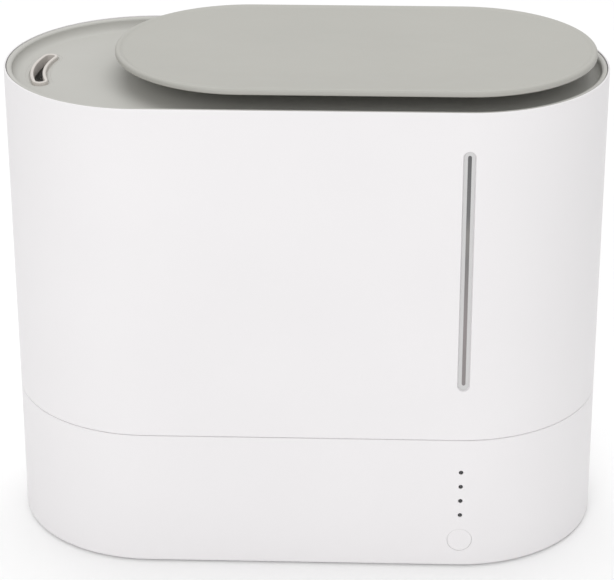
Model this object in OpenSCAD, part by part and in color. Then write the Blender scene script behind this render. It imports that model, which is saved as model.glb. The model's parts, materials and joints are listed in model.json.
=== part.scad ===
// Top-fill cool mist humidifier: base with electronics, lift-off water tank,
// inset tray with a crescent mist outlet, and a dished fill cover.
// +X is to the right of the front, -Y is the front, +Z is up, z = 0 is the floor.
// Every outline in plan is a slot shape: a straight centre line along X with round ends.

/* [Body outline] */
// Half length of the straight centre line
half_line = 78.5; // [77:0.5:84]
// Outer radius of the round ends at the rim
rim_r = 71.7; // [71.3:0.1:72.5]
// Outer radius at the seam between base and tank
seam_r = 71.9; // [71.5:0.1:72]
// Outer radius at the foot of the base
foot_r = 72.3; // [72.1:0.1:72.6]
// Wall thickness of the outer shells
wall = 2.4; // [2.2:0.1:2.6]
// Radius of the round along the bottom edge
foot_round = 1.2; // [1:0.1:2]

/* [Heights] */
// Bottom edge of the base shell above the floor
shell_z = 1; // [0.8:0.1:1.8]
// Top edge of the base shell
base_top_z = 72.8; // [72.4:0.1:72.9]
// Bottom edge of the tank skirt
tank_z = 73.2; // [73.2:0.1:73.4]
// Underside of the tank floor
tank_floor_z = 76; // [76:0.1:76.5]
// Top of the tank rim
rim_z = 246.3; // [246.2:0.1:247]
// Top edge of the fill cover
cover_top_z = 255; // [254.6:0.1:256]

/* [Front panel] */
// Distance of the window, the indicators and the button from the centre
panel_x = 80; // [76:0.5:82]
// Lowest point of the window groove
window_z0 = 100.4; // [96:0.2:110]
// Highest point of the window groove
window_z1 = 227; // [200:0.2:228]
// Width of the window groove
groove_w = 6; // [5:0.2:7]
// Width of the slot in the middle of the groove
slit_w = 2.2; // [2:0.1:2.4]
// Height of the lowest indicator
dot_z = 30.4; // [29:0.1:32]
// Distance between indicators
dot_pitch = 8.13; // [7.5:0.01:8.5]
// Number of indicators
dot_n = 4; // [3:1:4]
// Height of the power button's centre
button_z = 16; // [15:0.5:17]
// Radius of the power button
button_r = 6.2; // [5.8:0.1:6.4]

/* [Mist path] */
// Radius of the crescent outlet's centre line
crescent_r = 55; // [54.6:0.1:55.3]
// Half width of the crescent slot
crescent_w = 2.25; // [2:0.05:2.4]
// Half angle of the crescent's centre line
crescent_a = 19.2; // [16:0.2:20]
// Distance of the mist duct's centre from the round end's centre
duct_out = 46; // [45:0.1:46]

/* [Fan] */
// Position of the fan's centre along X
fan_x = -28; // [-30:1:-26]
// Number of blades
blade_n = 7; // [5:1:9]

/* [Hidden] */
$fn = 96;
eps = 0.01;

// colours
white = [0.93, 0.93, 0.93];
grey = [0.74, 0.74, 0.71];
rubber_grey = [0.28, 0.28, 0.28];
silicone = [0.85, 0.84, 0.80];
board_green = [0.10, 0.35, 0.20];
steel = [0.72, 0.73, 0.75];
black = [0.08, 0.08, 0.09];

// base
lip_in_r = seam_r - 1.2;
flange_r = 69.9;
spigot_r = 68.6;
flange_z0 = 69.5;
deck_z = 72;
basin_r = 62;
basin_wall = 2;
basin_z = 42;
basin_floor_z0 = 39.6;
bay_x = 22;
bay_y = -56;
plate_z0 = 2;
plate_z1 = 4.4;
plate_r = 67.5;
screw_at = [[46.5, 26], [46.5, -26]];
foot_at = [21.5, 40];
foot_pad_r = 8;

// fan
fan_w = 60;
fan_hole = 25;
fan_bore_r = 28.5;
fan_z0 = 8.4;
fan_z1 = 23.4;

// boards
board_z0 = 12;
board_z1 = 13.6;
board_x = [20, 75];
board_y = 30;
panel_board_y = [-63.6, -62];

// transducer, chimney, float and valve positions
disc_x = -half_line - 37.5;
chimney_x = -72;
float_x = -20;
float_y = 38;
valve_x = 30;
stem_r = 2.42;
guide_r = 2.5;

// jack
jack_x = 60;
jack_z = 20;
jack_pin_r = 1;

// mist duct and tray
duct_x = -half_line - duct_out;
duct_half = 12.5;
duct_r = 14;
duct_wall = 1.6;
duct_z0 = 64;
duct_z1 = 228;
tray_z = 240.3;
tray_t = 2;
tray_flange_z = 246;
tray_in_r = 67.6;
tray_round = 4.6;
tray_side = 1.2;
lip_top_z = 241.5;
neck_z0 = 236.2;
ledge_z = 243;
mouth_x = 24.6;
mouth_half = 40;
mouth_r = 18;
cover_half = 53.75;
cover_r = 65.5;

// outer radius of the base at height z
function base_r(z) = foot_r + (seam_r - foot_r) * (z - shell_z) / (base_top_z - shell_z);
// points of an arc about [cx, cz]
function arc(cx, cz, r, a0, a1, n = 6) =
    [for (i = [0:n]) let (a = a0 + (a1 - a0) * i / n) [cx + r * cos(a), cz + r * sin(a)]];

// A profile [r, z] swept round a slot-shaped path along X
module track(profile, half) {
    for (side = [0, 180]) rotate([0, 0, side]) {
        translate([half, 0, 0]) rotate([0, 0, -90]) rotate_extrude(angle = 180) polygon(profile);
        rotate([90, 0, 90]) linear_extrude(2 * half, center = true) polygon(profile);
    }
}
// A slot-shaped slab, and a slot-shaped ring
module slab(r, z0, z1, half) track([[0, z0], [r, z0], [r, z1], [0, z1]], half);
module hoop(r0, r1, z0, z1, half) track([[r0, z0], [r1, z0], [r1, z1], [r0, z1]], half);
// A round tube standing on z0
module tube(r0, r1, z0, z1) {
    rotate_extrude() polygon([[r0, z0], [r1, z0], [r1, z1], [r0, z1]]);
}
module rod(r, z0, z1) translate([0, 0, z0]) cylinder(r = r, h = z1 - z0);
// A box between two corners
module block(a, b) translate(a) cube(b - a);
// A rod along Y between y0 and y1
module rod_y(r, y0, y1) translate([0, y1, 0]) rotate([90, 0, 0]) cylinder(r = r, h = y1 - y0);
// A curved slot with round ends about the left end's centre
module crescent(w, z0, z1) {
    translate([-half_line, 0, 0]) {
        rotate([0, 0, 180 - crescent_a]) rotate_extrude(angle = 2 * crescent_a)
            polygon([[crescent_r - w, z0], [crescent_r + w, z0],
                     [crescent_r + w, z1], [crescent_r - w, z1]]);
        for (a = [180 - crescent_a, 180 + crescent_a]) rotate([0, 0, a])
            translate([crescent_r, 0, 0]) rod(w, z0, z1);
    }
}
// Children repeated at the four corners of a rectangle
module at_corners(x, y) for (sx = [-1, 1], sy = [-1, 1]) translate([sx * x, sy * y, 0]) children();
// Positions of the six screws that hold the bottom plate
module at_plate_screws() {
    for (sx = [-1, 1], p = screw_at) translate([sx * (half_line + p[0]), p[1], 0]) children();
    for (sy = [-1, 1]) translate([0, sy * 50, 0]) children();
}
module at_fan_corners() translate([fan_x, 0, 0]) at_corners(fan_hole, fan_hole) children();
module at_board_corners() {
    translate([(board_x[0] + board_x[1]) / 2, 0, 0])
        at_corners((board_x[1] - board_x[0]) / 2 - 4, board_y - 4) children();
}
module at_clamp_screws() for (a = [30:120:270]) translate([disc_x, 0, 0]) rotate([0, 0, a])
    translate([15, 0, 0]) children();
// A screw with its head below z and its shank above, or turned over
module screw(head_r, head_h, shank_r, shank_l) {
    difference() {
        rod(head_r, -head_h, 0);
        block([-head_r * 0.6, -0.4, -head_h - 1], [head_r * 0.6, 0.4, -head_h * 0.5]);
        block([-0.4, -head_r * 0.6, -head_h - 1], [0.4, head_r * 0.6, -head_h * 0.5]);
    }
    rod(shank_r, -eps, shank_l);
}
// A wire of radius r along points, with its corners rounded over a length of 4
function unit(v) = v / norm(v);
function bent(p, d = 4) = concat([p[0]],
    [for (i = [1:1:len(p) - 2])
        let (a = p[i] + d * unit(p[i - 1] - p[i]), b = p[i] + d * unit(p[i + 1] - p[i]))
        each [for (k = [0:4]) let (t = k / 4) (1 - t) * (1 - t) * a + 2 * t * (1 - t) * p[i] + t * t * b]],
    [p[len(p) - 1]]);
function heading(p, i) = unit(p[min(i + 1, len(p) - 1)] - p[max(i - 1, 0)]);
function sideways(p, i) = i == 0 ? unit(cross(heading(p, 0), [1, 2, 3])) :
    let (n = sideways(p, i - 1), t = heading(p, i)) unit(n - (n * t) * t);
// The skin of a tube made of steps + 1 rings of a given number of sides
function tube_skin(steps, sides) = concat(
    [for (i = [0:steps - 1], j = [0:sides - 1]) let (k = (j + 1) % sides)
        [i * sides + j, i * sides + k, (i + 1) * sides + k, (i + 1) * sides + j]],
    [[for (j = [sides - 1:-1:0]) j], [for (j = [0:sides - 1]) steps * sides + j]]);
module lead(points, r = 1.1, sides = 8) {
    p = bent(points);
    rings = [for (i = [0:len(p) - 1]) let (t = heading(p, i), n = sideways(p, i), m = cross(t, n))
        each [for (j = [0:sides - 1]) let (b = -360 * j / sides) p[i] + r * (cos(b) * n + sin(b) * m)]];
    polyhedron(rings, tube_skin(len(p) - 1, sides));
}

// ---- base ----
module base_shell() color(white) difference() {
    track(concat(
        [[foot_r - 4.5, shell_z]],
        arc(foot_r - foot_round, shell_z + foot_round, foot_round, -90, 0),
        arc(seam_r - 0.4, base_top_z - 0.4, 0.4, 0, 90, 3),
        [[lip_in_r, base_top_z], [lip_in_r, flange_z0], [seam_r - wall, flange_z0],
         [foot_r - wall, 8], [foot_r - 4.5, 6]]), half_line);
    for (i = [0:dot_n - 1]) translate([panel_x, 0, dot_z + i * dot_pitch])
        rod_y(1.15, -foot_r - 1, -60);
    translate([panel_x, 0, button_z]) rod_y(button_r + 0.3, -foot_r - 1, -60);
    translate([jack_x, 0, jack_z]) rod_y(4.7, 60, foot_r + 1);
}

module basin_outline(r, z0, z1, bay_edge) difference() {
    slab(r, z0, z1, half_line);
    block([panel_x - bay_x - bay_edge, -r - 1, z0 - 1],
          [panel_x + bay_x + bay_edge, bay_y + bay_edge, z1 + 1]);
}
module base_deck() color(white) {
    difference() {
        union() {
            slab(flange_r, flange_z0, deck_z, half_line);
            hoop(66, spigot_r, deck_z - eps, tank_floor_z - 0.2, half_line);
            basin_outline(basin_r + basin_wall, basin_floor_z0, deck_z - eps, 0);
            at_plate_screws() rod(3.5, plate_z1, basin_floor_z0 + eps);
            translate([disc_x, 0, 0]) rod(18, 34, basin_floor_z0 + eps);
            for (sx = [-1, 1]) translate([panel_x + sx * 12, 0, 45])
                rod_y(2, panel_board_y[1], bay_y + eps);
        }
        basin_outline(basin_r, basin_z, deck_z + 1, basin_wall);
        at_plate_screws() rod(1.5, 0, 20);
        translate([disc_x, 0, 0]) {
            rod(9, 30, basin_z + 1);
            rod(11.6, 30, basin_floor_z0);
        }
        at_clamp_screws() rod(1.05, 30, 38.8);
        translate([chimney_x, 0, 0]) rod(12, 30, basin_z + 1);
        translate([float_x, float_y, 0]) rod(3.2, 30, basin_z + 1);
    }
    translate([chimney_x, 0, 0]) tube(12, 14, basin_floor_z0, 70);
    translate([valve_x, 0, 0]) rod(3, basin_z - eps, 51.8);
    translate([float_x, float_y, 0]) difference() {
        union() {
            rod(5, basin_floor_z0, 66);
            rod(7, basin_z - eps, 43.8);
        }
        rod(3.2, 30, 63);
    }
}

module bottom_plate() color(white) {
    difference() {
        union() {
            slab(plate_r, plate_z0, plate_z1, half_line);
            at_fan_corners() rod(3, plate_z1 - eps, fan_z0);
            at_board_corners() rod(3, plate_z1 - eps, board_z0);
        }
        at_plate_screws() {
            rod(1.7, 0, plate_z1 + 1);
            rod(3.1, 0, plate_z0 + 1.2);
        }
        at_fan_corners() rod(1.55, 5, fan_z0 + 1);
        at_board_corners() rod(1.25, 5, board_z0 + 1);
        for (i = [-4:4]) let (y = i * 6, h = sqrt(26 * 26 - y * y))
            block([fan_x - h, y - 1.5, 0], [fan_x + h, y + 1.5, plate_z1 + 1]);
    }
}
module rubber_feet() color(rubber_grey)
    at_corners(half_line + foot_at[0], foot_at[1]) rotate_extrude()
        polygon(concat([[0, 0]], arc(foot_pad_r - 0.8, 0.8, 0.8, -90, 0, 3),
            [[foot_pad_r, plate_z0], [0, plate_z0]]));
module plate_screws() color(steel) at_plate_screws()
    translate([0, 0, plate_z0 + 1.2]) screw(2.8, 1.1, 1.45, 15);

// ---- fan ----
module fan_frame() color(black) translate([fan_x, 0, 0]) {
    difference() {
        block([-fan_w / 2, -fan_w / 2, fan_z0], [fan_w / 2, fan_w / 2, fan_z1]);
        rod(fan_bore_r, 0, 40);
        at_corners(fan_hole, fan_hole) rod(2.2, 0, 40);
    }
    difference() {
        union() {
            rod(13, fan_z0, fan_z0 + 2);
            for (a = [45:90:315]) rotate([0, 0, a])
                block([12, -1.5, fan_z0], [fan_bore_r + 0.5, 1.5, fan_z0 + 2]);
            rod(3.6, fan_z0 + 1, 19);
        }
        rod(2.5, fan_z0 + 2, 20);
    }
}
module fan_stator() color([0.72, 0.45, 0.20]) translate([fan_x, 0, 0]) difference() {
    union() {
        rod(5.5, 11.5, 18.5);
        for (a = [0:90:270]) rotate([0, 0, a]) {
            block([4, -1.6, 12], [9, 1.6, 18]);
            block([8, -3.6, 11.5], [9, 3.6, 18.5]);
        }
    }
    rod(3.7, 0, 30);
}
module fan_bearing() color([0.70, 0.58, 0.30]) translate([fan_x, 0, 0]) tube(1.06, 2.45, 10.6, 18.8);
module fan_screws() color(steel) at_fan_corners()
    translate([0, 0, fan_z1]) rotate([180, 0, 0]) screw(2.8, 1.8, 1.5, fan_z1 - 5.4);
module fan_rotor() color(black) translate([fan_x, 0, 0]) {
    difference() {
        rod(12, 11.4, 22.4);
        rod(11, 0, 21.2);
        rod(1, 20, 30);
    }
    difference() {
        for (i = [0:blade_n - 1]) rotate([0, 0, i * 360 / blade_n])
            translate([11.5, 0, 16.9]) rotate([42, 0, 0]) block([0, -6.5, -0.6], [15.6, 6.5, 0.6]);
        rod(11.4, 0, 30);
    }
}
module rotor_magnet() color([0.35, 0.35, 0.37]) translate([fan_x, 0, 0]) tube(10.2, 10.95, 12, 19);
module fan_shaft() color(steel) translate([fan_x, 0, 0]) rod(1, 10.6, 22.4);

// ---- transducer ----
module transducer_disc() color(steel) translate([disc_x, 0, 0]) rod(10.5, 36.8, 38.2);
module transducer_seal() color(silicone) translate([disc_x, 0, 0]) tube(8.8, 11.5, 38.2, basin_floor_z0);
module transducer_clamp() color(black) difference() {
    translate([disc_x, 0, 0]) {
        tube(6, 18, 31.6, 34);
        tube(8.5, 11.3, 34 - eps, 36.8);
    }
    at_clamp_screws() rod(1.3, 30, 40);
}
module transducer_screws() color(steel) at_clamp_screws()
    translate([0, 0, 31.6]) screw(2.2, 1.5, 1, 6.8);

// ---- electronics ----
module driver_board() color(board_green) difference() {
    block([board_x[0], -board_y, board_z0], [board_x[1], board_y, board_z1]);
    at_board_corners() rod(1.6, 0, 30);
}
module board_screws() color(steel) at_board_corners()
    translate([0, 0, board_z1]) rotate([180, 0, 0]) screw(2.4, 1.5, 1.2, 8);
module heat_sink() color(steel) difference() {
    block([34, 0, board_z1], [56, 18, 30]);
    for (i = [0:4]) block([36 + i * 4, -1, 17], [38 + i * 4, 19, 31]);
}
module driver_parts() {
    color(black) for (x = [36, 50]) translate([x, -14, 0]) rod(5, board_z1, 27);
    color([0.72, 0.45, 0.20]) translate([64, -6, 0]) tube(2.5, 6, board_z1, 22);
    color(white) {
        for (y = [-14, 14]) block([21, y - 4, board_z1], [26, y + 4, 18]);
        block([56, 23, board_z1], [64, 28, 18]);
        block([56, -28, board_z1], [64, -23, 18]);
    }
}
module control_board() color(board_green)
    block([panel_x - 14, panel_board_y[0], 8.5], [panel_x + 14, panel_board_y[1], 62]);
module tact_switch() color(black) translate([panel_x, 0, button_z]) {
    block([-3, -65, -3], [3, panel_board_y[0], 3]);
    rod_y(1.75, -65.2, -65 + eps);
}
module indicator_leds() color([0.95, 0.95, 0.90])
    for (i = [0:dot_n - 1]) translate([panel_x, 0, dot_z + i * dot_pitch])
        block([-1, -64.6, -0.8], [1, panel_board_y[0], 0.8]);
module indicator_lenses() color([0.15, 0.15, 0.16]) {
    for (i = [0:dot_n - 1]) let (z = dot_z + i * dot_pitch)
        translate([panel_x, 0, z]) rod_y(1, -base_r(z) + 0.1, -66.4);
    block([panel_x - 2, -67.8, dot_z - 3], [panel_x + 2, -66.2, dot_z + (dot_n - 1) * dot_pitch + 3]);
}
module dc_jack() color(black) translate([jack_x, 0, jack_z]) difference() {
    union() {
        block([-5, 55, -5.5], [5, 69.2, 5.5]);
        rod_y(4.5, 69, base_r(jack_z) - 0.15);
    }
    rod_y(3.1, 61.6, foot_r + 1);
}
module jack_pin() color(steel) translate([jack_x, 0, jack_z]) rod_y(jack_pin_r, 61.6, 70.6);
module reed_switch() color([0.75, 0.80, 0.85]) translate([float_x, float_y, 0]) {
    rod(1.4, 46, 60);
    rod(0.4, 36, 46 + eps);
}
module float_cap() color(white) translate([float_x, float_y, 0]) rod(7.5, 66, 68);
module wiring_harness() color([0.15, 0.15, 0.17]) {
    lead([[fan_x + fan_w / 2, 14, 16], [21, 14, 16]]);
    lead([[75, panel_board_y[1], 20], [75, -50, 20], [60, -42, 16], [60, -28, 16]]);
    lead([[disc_x, 0, 36.8], [disc_x, 0, 27], [disc_x, -38, 27], [8, -38, 22], [8, -14, 16], [21, -14, 16]]);
    lead([[jack_x, 55, jack_z], [jack_x, 42, jack_z], [jack_x, 36, 16], [jack_x, 28, 16]]);
}

// ---- small moving parts of the base ----
// The button's face follows the wall's curve, 0.1 inside it
module power_button() color(white) {
    intersection() {
        translate([panel_x, 0, button_z]) rod_y(button_r, -foot_r - 1, -68.5);
        track([[0, 2], [base_r(2) - 0.1, 2], [base_r(40) - 0.1, 40], [0, 40]], half_line);
    }
    translate([panel_x, 0, button_z]) {
        rod_y(button_r + 1, -68.6, -67.6);
        rod_y(2, -67.6 - eps, -66.3);
    }
}
module level_float() color([0.90, 0.88, 0.82]) translate([float_x, float_y, 0]) difference() {
    tube(5.4, 12.5, 44, 53);
    tube(6.1, 8.7, 43, 47.6);
}
module float_magnet() color([0.35, 0.35, 0.37]) translate([float_x, float_y, 0]) tube(6.2, 8.6, 44.4, 47.4);

// ---- tank ----
// A strip with round ends, standing in the front wall between y0 and y1
module strip(w, z0, z1, y0, y1) translate([panel_x, 0, 0]) {
    block([-w / 2, y0, z0 + w / 2], [w / 2, y1, z1 - w / 2]);
    for (z = [z0 + w / 2, z1 - w / 2]) translate([0, 0, z]) rod_y(w / 2, y0, y1);
}
seat_y = -seam_r + wall - 0.3;
groove_y = -seam_r + 1.2;
module tank_shell() color(white) {
    difference() {
        track(concat(
            [[0, tank_floor_z], [seam_r - wall, tank_floor_z], [seam_r - wall, tank_z]],
            arc(seam_r - 0.4, tank_z + 0.4, 0.4, -90, 0, 3),
            arc(rim_r - 0.45, rim_z - 0.45, 0.45, 0, 90, 4),
            [[rim_r - 0.75, rim_z], [rim_r - 0.9, rim_z - 0.15], [rim_r - 0.9, ledge_z],
             [rim_r - wall, ledge_z], [seam_r - wall, tank_floor_z + 4.4],
             [seam_r - wall - 2, tank_floor_z + 2.4], [0, tank_floor_z + 2.4]]), half_line);
        translate([duct_x, 0, 0]) rotate([0, 0, 90]) slab(duct_r + 0.2, 70, 90, duct_half);
        translate([valve_x, 0, 0]) rod(16, 70, 90);
        strip(groove_w, window_z0, window_z1, -rim_r - 1, groove_y);
        strip(slit_w, window_z0 + 2.8, window_z1 - 2.2, -rim_r - 1, -60);
        block([panel_x - 5.5, seat_y, window_z0 - 3], [panel_x + 5.5, -60, window_z1 + 3]);
    }
    translate([valve_x, 0, 0]) tube(16, 19, 66, tank_floor_z + eps);
}
module window_lens() color([0.70, 0.74, 0.76, 0.6]) {
    block([panel_x - 5, seat_y + 0.6, window_z0 - 2.5], [panel_x + 5, seat_y + 2.1, window_z1 + 2.5]);
    strip(slit_w - 0.3, window_z0 + 3, window_z1 - 2.4, groove_y - 0.1, seat_y + 0.6 + eps);
}
module window_seal() color(silicone) difference() {
    block([panel_x - 5, seat_y, window_z0 - 2.5], [panel_x + 5, seat_y + 0.6, window_z1 + 2.5]);
    strip(slit_w + 1, window_z0, window_z1, seat_y - 1, seat_y + 2);
}
module at_duct() translate([duct_x, 0, 0]) rotate([0, 0, 90]) children();
module mist_duct() color(white) at_duct() {
    hoop(duct_r - duct_wall, duct_r, duct_z0, duct_z1, duct_half);
    hoop(duct_r - eps, duct_r + 2.5, tank_floor_z + 3, tank_floor_z + 4.6, duct_half);
}
module duct_gasket() color(silicone) at_duct()
    hoop(duct_r + 0.3, duct_r + 2.5, tank_floor_z + 2.4, tank_floor_z + 3, duct_half);
module valve_housing() color(white) translate([valve_x, 0, 0]) {
    tube(7.5, 18.8, 62.4, 64.8);
    tube(14, 15.7, 64.8 - eps, 81.6);
    tube(guide_r, 5, 80, 81.6);
    for (a = [0:120:240]) rotate([0, 0, a]) block([4.5, -1.5, 80], [14.5, 1.5, 81.6]);
}
module valve_neck_seal() color(silicone) translate([valve_x, 0, 0]) tube(16, 18.8, 64.8, 66);
module valve_plunger() color(grey) translate([valve_x, 0, 0]) {
    rod(stem_r, 52, 84);
    tube(stem_r - eps, 9.4, 70.2, 71.4);
}
module valve_gasket() color(silicone) translate([valve_x, 0, 0]) tube(stem_r + 0.05, 10, 69, 70.2);
spring_r = 4.15;
spring_wire = 0.4;
spring_turns = 4;
spring_z = [71.4, 80];
module valve_spring() color(steel) translate([valve_x, 0, 0]) {
    sides = 8;
    steps = spring_turns * 20;
    rise = spring_z[1] - spring_z[0] - 2 * spring_wire;
    points = [for (i = [0:steps], j = [0:sides - 1])
        let (a = 360 * spring_turns * i / steps, b = -360 * j / sides, r = spring_r + spring_wire * cos(b))
        [r * cos(a), r * sin(a), spring_z[0] + spring_wire + rise * i / steps + spring_wire * sin(b)]];
    polyhedron(points, tube_skin(steps, sides));
}

// ---- tray ----
module top_tray() color(grey) {
    difference() {
        union() {
            track(concat(
                [[0, tray_z - tray_t]],
                arc(tray_in_r - tray_round, tray_z - tray_t + tray_round + tray_side,
                    tray_round + tray_side, -90, -6, 8),
                [[rim_r - 2.4, ledge_z + 0.6], [rim_r - 1.3, ledge_z + 0.6],
                 [rim_r - 1.3, tray_flange_z - 0.3],
                 [rim_r - 1.6, tray_flange_z], [tray_in_r + 0.3, tray_flange_z],
                 [tray_in_r, tray_flange_z - 0.3]],
                arc(tray_in_r - tray_round, tray_z + tray_round, tray_round, 0, -90, 8),
                [[0, tray_z]]), half_line);
            translate([mouth_x, 0, 0]) slab(mouth_r + 2, 230, 244, mouth_half);
        }
        translate([mouth_x, 0, 0]) slab(mouth_r, 220, 250, mouth_half);
        crescent(crescent_w + 1.3, 230, 245);
        crescent(crescent_w + 2.25, tray_z - 0.8, 245);
    }
    at_duct() hoop(duct_r - duct_wall, duct_r, duct_z1 + 1.5, tray_z - tray_t + eps, duct_half);
}
module tray_seal() color(silicone) hoop(rim_r - 2.3, rim_r - 1.35, ledge_z, ledge_z + 0.6, half_line);
module mist_nozzle() color([0.82, 0.80, 0.77]) difference() {
    union() {
        crescent(crescent_w + 1.15, neck_z0, tray_z);
        crescent(crescent_w + 1.65, tray_z - 0.8, lip_top_z - 0.4);
        crescent(crescent_w + 1.25, lip_top_z - 0.5, lip_top_z);
    }
    crescent(crescent_w, 220, 250);
}
module nozzle_seal() color(silicone) at_duct()
    hoop(duct_r - duct_wall, duct_r, duct_z1 + 0.3, duct_z1 + 1.5, duct_half);

// ---- cover ----
module fill_cover() color(grey) translate([mouth_x, 0, 0]) {
    track(concat(
        [[0, cover_top_z - 5.8], [44, cover_top_z - 5.8], [50, cover_top_z - 5.4], [62, cover_top_z - 3.6]],
        arc(cover_r - 0.8, cover_top_z - 2.4, 0.8, -80, 0, 4),
        arc(cover_r - 0.8, cover_top_z - 0.8, 0.8, 0, 90, 4),
        [[cover_r - 1.6, cover_top_z - 0.1], [cover_r - 2.2, cover_top_z - 0.6]],
        [for (i = [0:6]) let (t = i / 6)
            [cover_r - 3 - 34 * t, cover_top_z - 0.8 - 1.6 * t * t * (3 - 2 * t)]],
        [[0, cover_top_z - 2.4]]), cover_half);
    hoop(mouth_r + 2.5, mouth_r + 4.7, tray_z + 0.2, cover_top_z - 5.6, mouth_half);
}
module cover_seal() color(silicone) translate([mouth_x, 0, 0])
    hoop(mouth_r - 0.4, mouth_r + 2.2, 244.2, cover_top_z - 5.8, mouth_half);

base_shell();
base_deck();
bottom_plate();
rubber_feet();
plate_screws();
fan_frame();
fan_stator();
fan_bearing();
fan_screws();
transducer_disc();
transducer_seal();
transducer_clamp();
transducer_screws();
driver_board();
board_screws();
heat_sink();
driver_parts();
control_board();
tact_switch();
indicator_leds();
indicator_lenses();
dc_jack();
jack_pin();
reed_switch();
float_cap();
wiring_harness();
fan_rotor();
rotor_magnet();
fan_shaft();
power_button();
level_float();
float_magnet();
tank_shell();
window_lens();
window_seal();
mist_duct();
duct_gasket();
valve_housing();
valve_neck_seal();
valve_plunger();
valve_gasket();
valve_spring();
top_tray();
tray_seal();
mist_nozzle();
nozzle_seal();
fill_cover();
cover_seal();
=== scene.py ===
import json
import math

import bmesh
import bpy
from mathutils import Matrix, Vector
from mathutils.geometry import tessellate_polygon


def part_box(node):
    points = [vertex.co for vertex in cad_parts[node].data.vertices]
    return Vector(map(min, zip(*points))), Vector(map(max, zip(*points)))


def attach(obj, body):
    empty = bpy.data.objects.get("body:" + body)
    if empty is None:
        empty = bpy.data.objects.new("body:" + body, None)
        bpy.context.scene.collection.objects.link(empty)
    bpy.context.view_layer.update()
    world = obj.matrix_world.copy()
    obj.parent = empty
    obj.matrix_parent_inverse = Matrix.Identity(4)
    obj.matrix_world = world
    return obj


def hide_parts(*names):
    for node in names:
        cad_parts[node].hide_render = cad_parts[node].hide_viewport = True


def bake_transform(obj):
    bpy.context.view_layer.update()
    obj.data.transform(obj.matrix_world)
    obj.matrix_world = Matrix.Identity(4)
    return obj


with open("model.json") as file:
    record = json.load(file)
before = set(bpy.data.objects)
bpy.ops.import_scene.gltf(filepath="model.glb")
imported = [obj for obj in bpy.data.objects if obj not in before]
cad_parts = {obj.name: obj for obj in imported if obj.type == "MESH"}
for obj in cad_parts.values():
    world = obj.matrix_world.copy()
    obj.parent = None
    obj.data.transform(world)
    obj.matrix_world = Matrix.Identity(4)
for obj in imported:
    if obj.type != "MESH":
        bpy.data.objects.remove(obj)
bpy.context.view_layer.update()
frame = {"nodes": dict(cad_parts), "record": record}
scene = bpy.context.scene


# ---- dimensions, from the frame ----
def box_mm(node):
    """Lowest and highest corner of a CAD node in millimetres."""
    low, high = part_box(node)
    return low * 1000, high * 1000


BASE_LO, BASE_HI = box_mm("base_shell")
TANK_HI = box_mm("tank_shell")[1]
COVER_LO, COVER_HI = box_mm("fill_cover")
DUCT_LO, DUCT_HI = box_mm("mist_duct")
BUTTON_LO, BUTTON_HI = box_mm("power_button")
DOTS_LO = box_mm("indicator_lenses")[0]
JACK_LO, JACK_HI = box_mm("dc_jack")
VALVE_LO, VALVE_HI = box_mm("valve_housing")

# the body in plan: half the straight, and the radius of the round ends at the foot, seam and rim
HALF = BASE_HI.x - BASE_HI.y
FOOT_R = BASE_HI.y
SEAM_R = TANK_HI.y
RIM_R = SEAM_R - 0.2
WALL = 2.4

# the base, from its foot to the seam
SHELL_Z = BASE_LO.z
BASE_TOP = BASE_HI.z
BASE_INNER_Z = (8.1, 69.0)
BASE_LIP_Z = 69.5
BASE_LIP_T = 1.2
FOOT_ROUND = 1.2
SEAM_ROUND = 0.6

# the tank, from the seam to its rim
SKIRT_Z = 72.98
TANK_Z = 73.2
TANK_FLOOR = 76.0
TANK_FLOOR_TOP = TANK_FLOOR + WALL
TANK_CORNER = 3.0
LEDGE_Z = 243.0
RIM_Z = TANK_HI.z
RIM_T = 0.9
RIM_ROUND = 0.45
RIM_IN_ROUND = 0.15

# the front panel: window groove (lowest, highest), round key and indicator dots
PANEL_X = (BUTTON_LO.x + BUTTON_HI.x) / 2
WINDOW = (100.4, 227.0)
GROOVE_W = 3.0
BUTTON_Z = (BUTTON_LO.z + BUTTON_HI.z) / 2
BUTTON_HOLE_R = 6.28
DOT_Z0 = DOTS_LO.z + 3
DOT_PITCH = 8.13
DOT_COUNT = 4
DOT_HOLE_R = 1.15
DOT_BAR_Y = (-67.8, -66.2)

# the tray: flange, floor, underside, corner and the seal under its flange
TRAY_TOP = 246.0
TRAY_Z = 240.3
TRAY_UNDER = 238.3
TRAY_IN_R = 67.6
TRAY_ROUND = 4.6
TRAY_SIDE = 1.2
TRAY_FLANGE_R = RIM_R - 1.3
TRAY_FLANGE_ROUND = 1.5
TRAY_SEAL_H = 0.6

# the fill mouth, with the collar round it
MOUTH_R = 18.0
MOUTH_HALF = 40.0
COLLAR_R = 20.0
COLLAR_Z = (230.0, 244.0)

# the crescent outlet: centre line about the left end's centre, half angle and half widths
CRESCENT_R = 55.0
CRESCENT_A = math.radians(19.2)
CRESCENT_W = 2.25
THROAT_W = 3.55
SEAT_DEPTH = 0.8
LIP_TOP = 241.5
NOZZLE_Z = 236.2

# the mist duct and the tray's short pipe above it
DUCT_X = (DUCT_LO.x + DUCT_HI.x) / 2
DUCT_R = 14.0
DUCT_IN_R = 12.4
DUCT_HALF = 12.5
DUCT_GAP = 0.15
DUCT_FLANGE_R = 16.5
DUCT_FLANGE_Z = (79.0, 80.6)
PIPE_Z = 229.5

# the cover plate, its dish and its neck (inner, outer radius)
COVER_X = (COVER_LO.x + COVER_HI.x) / 2
COVER_R = COVER_HI.y
COVER_HALF = (COVER_HI.x - COVER_LO.x) / 2 - COVER_R
COVER_TOP = COVER_HI.z
COVER_T = 5.8
COVER_NECK = (20.5, 22.7)
DISH_INSET = 4.2
DISH_W = 33.0
DISH_STEP = 0.8
DISH_DROP = 1.6

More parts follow.
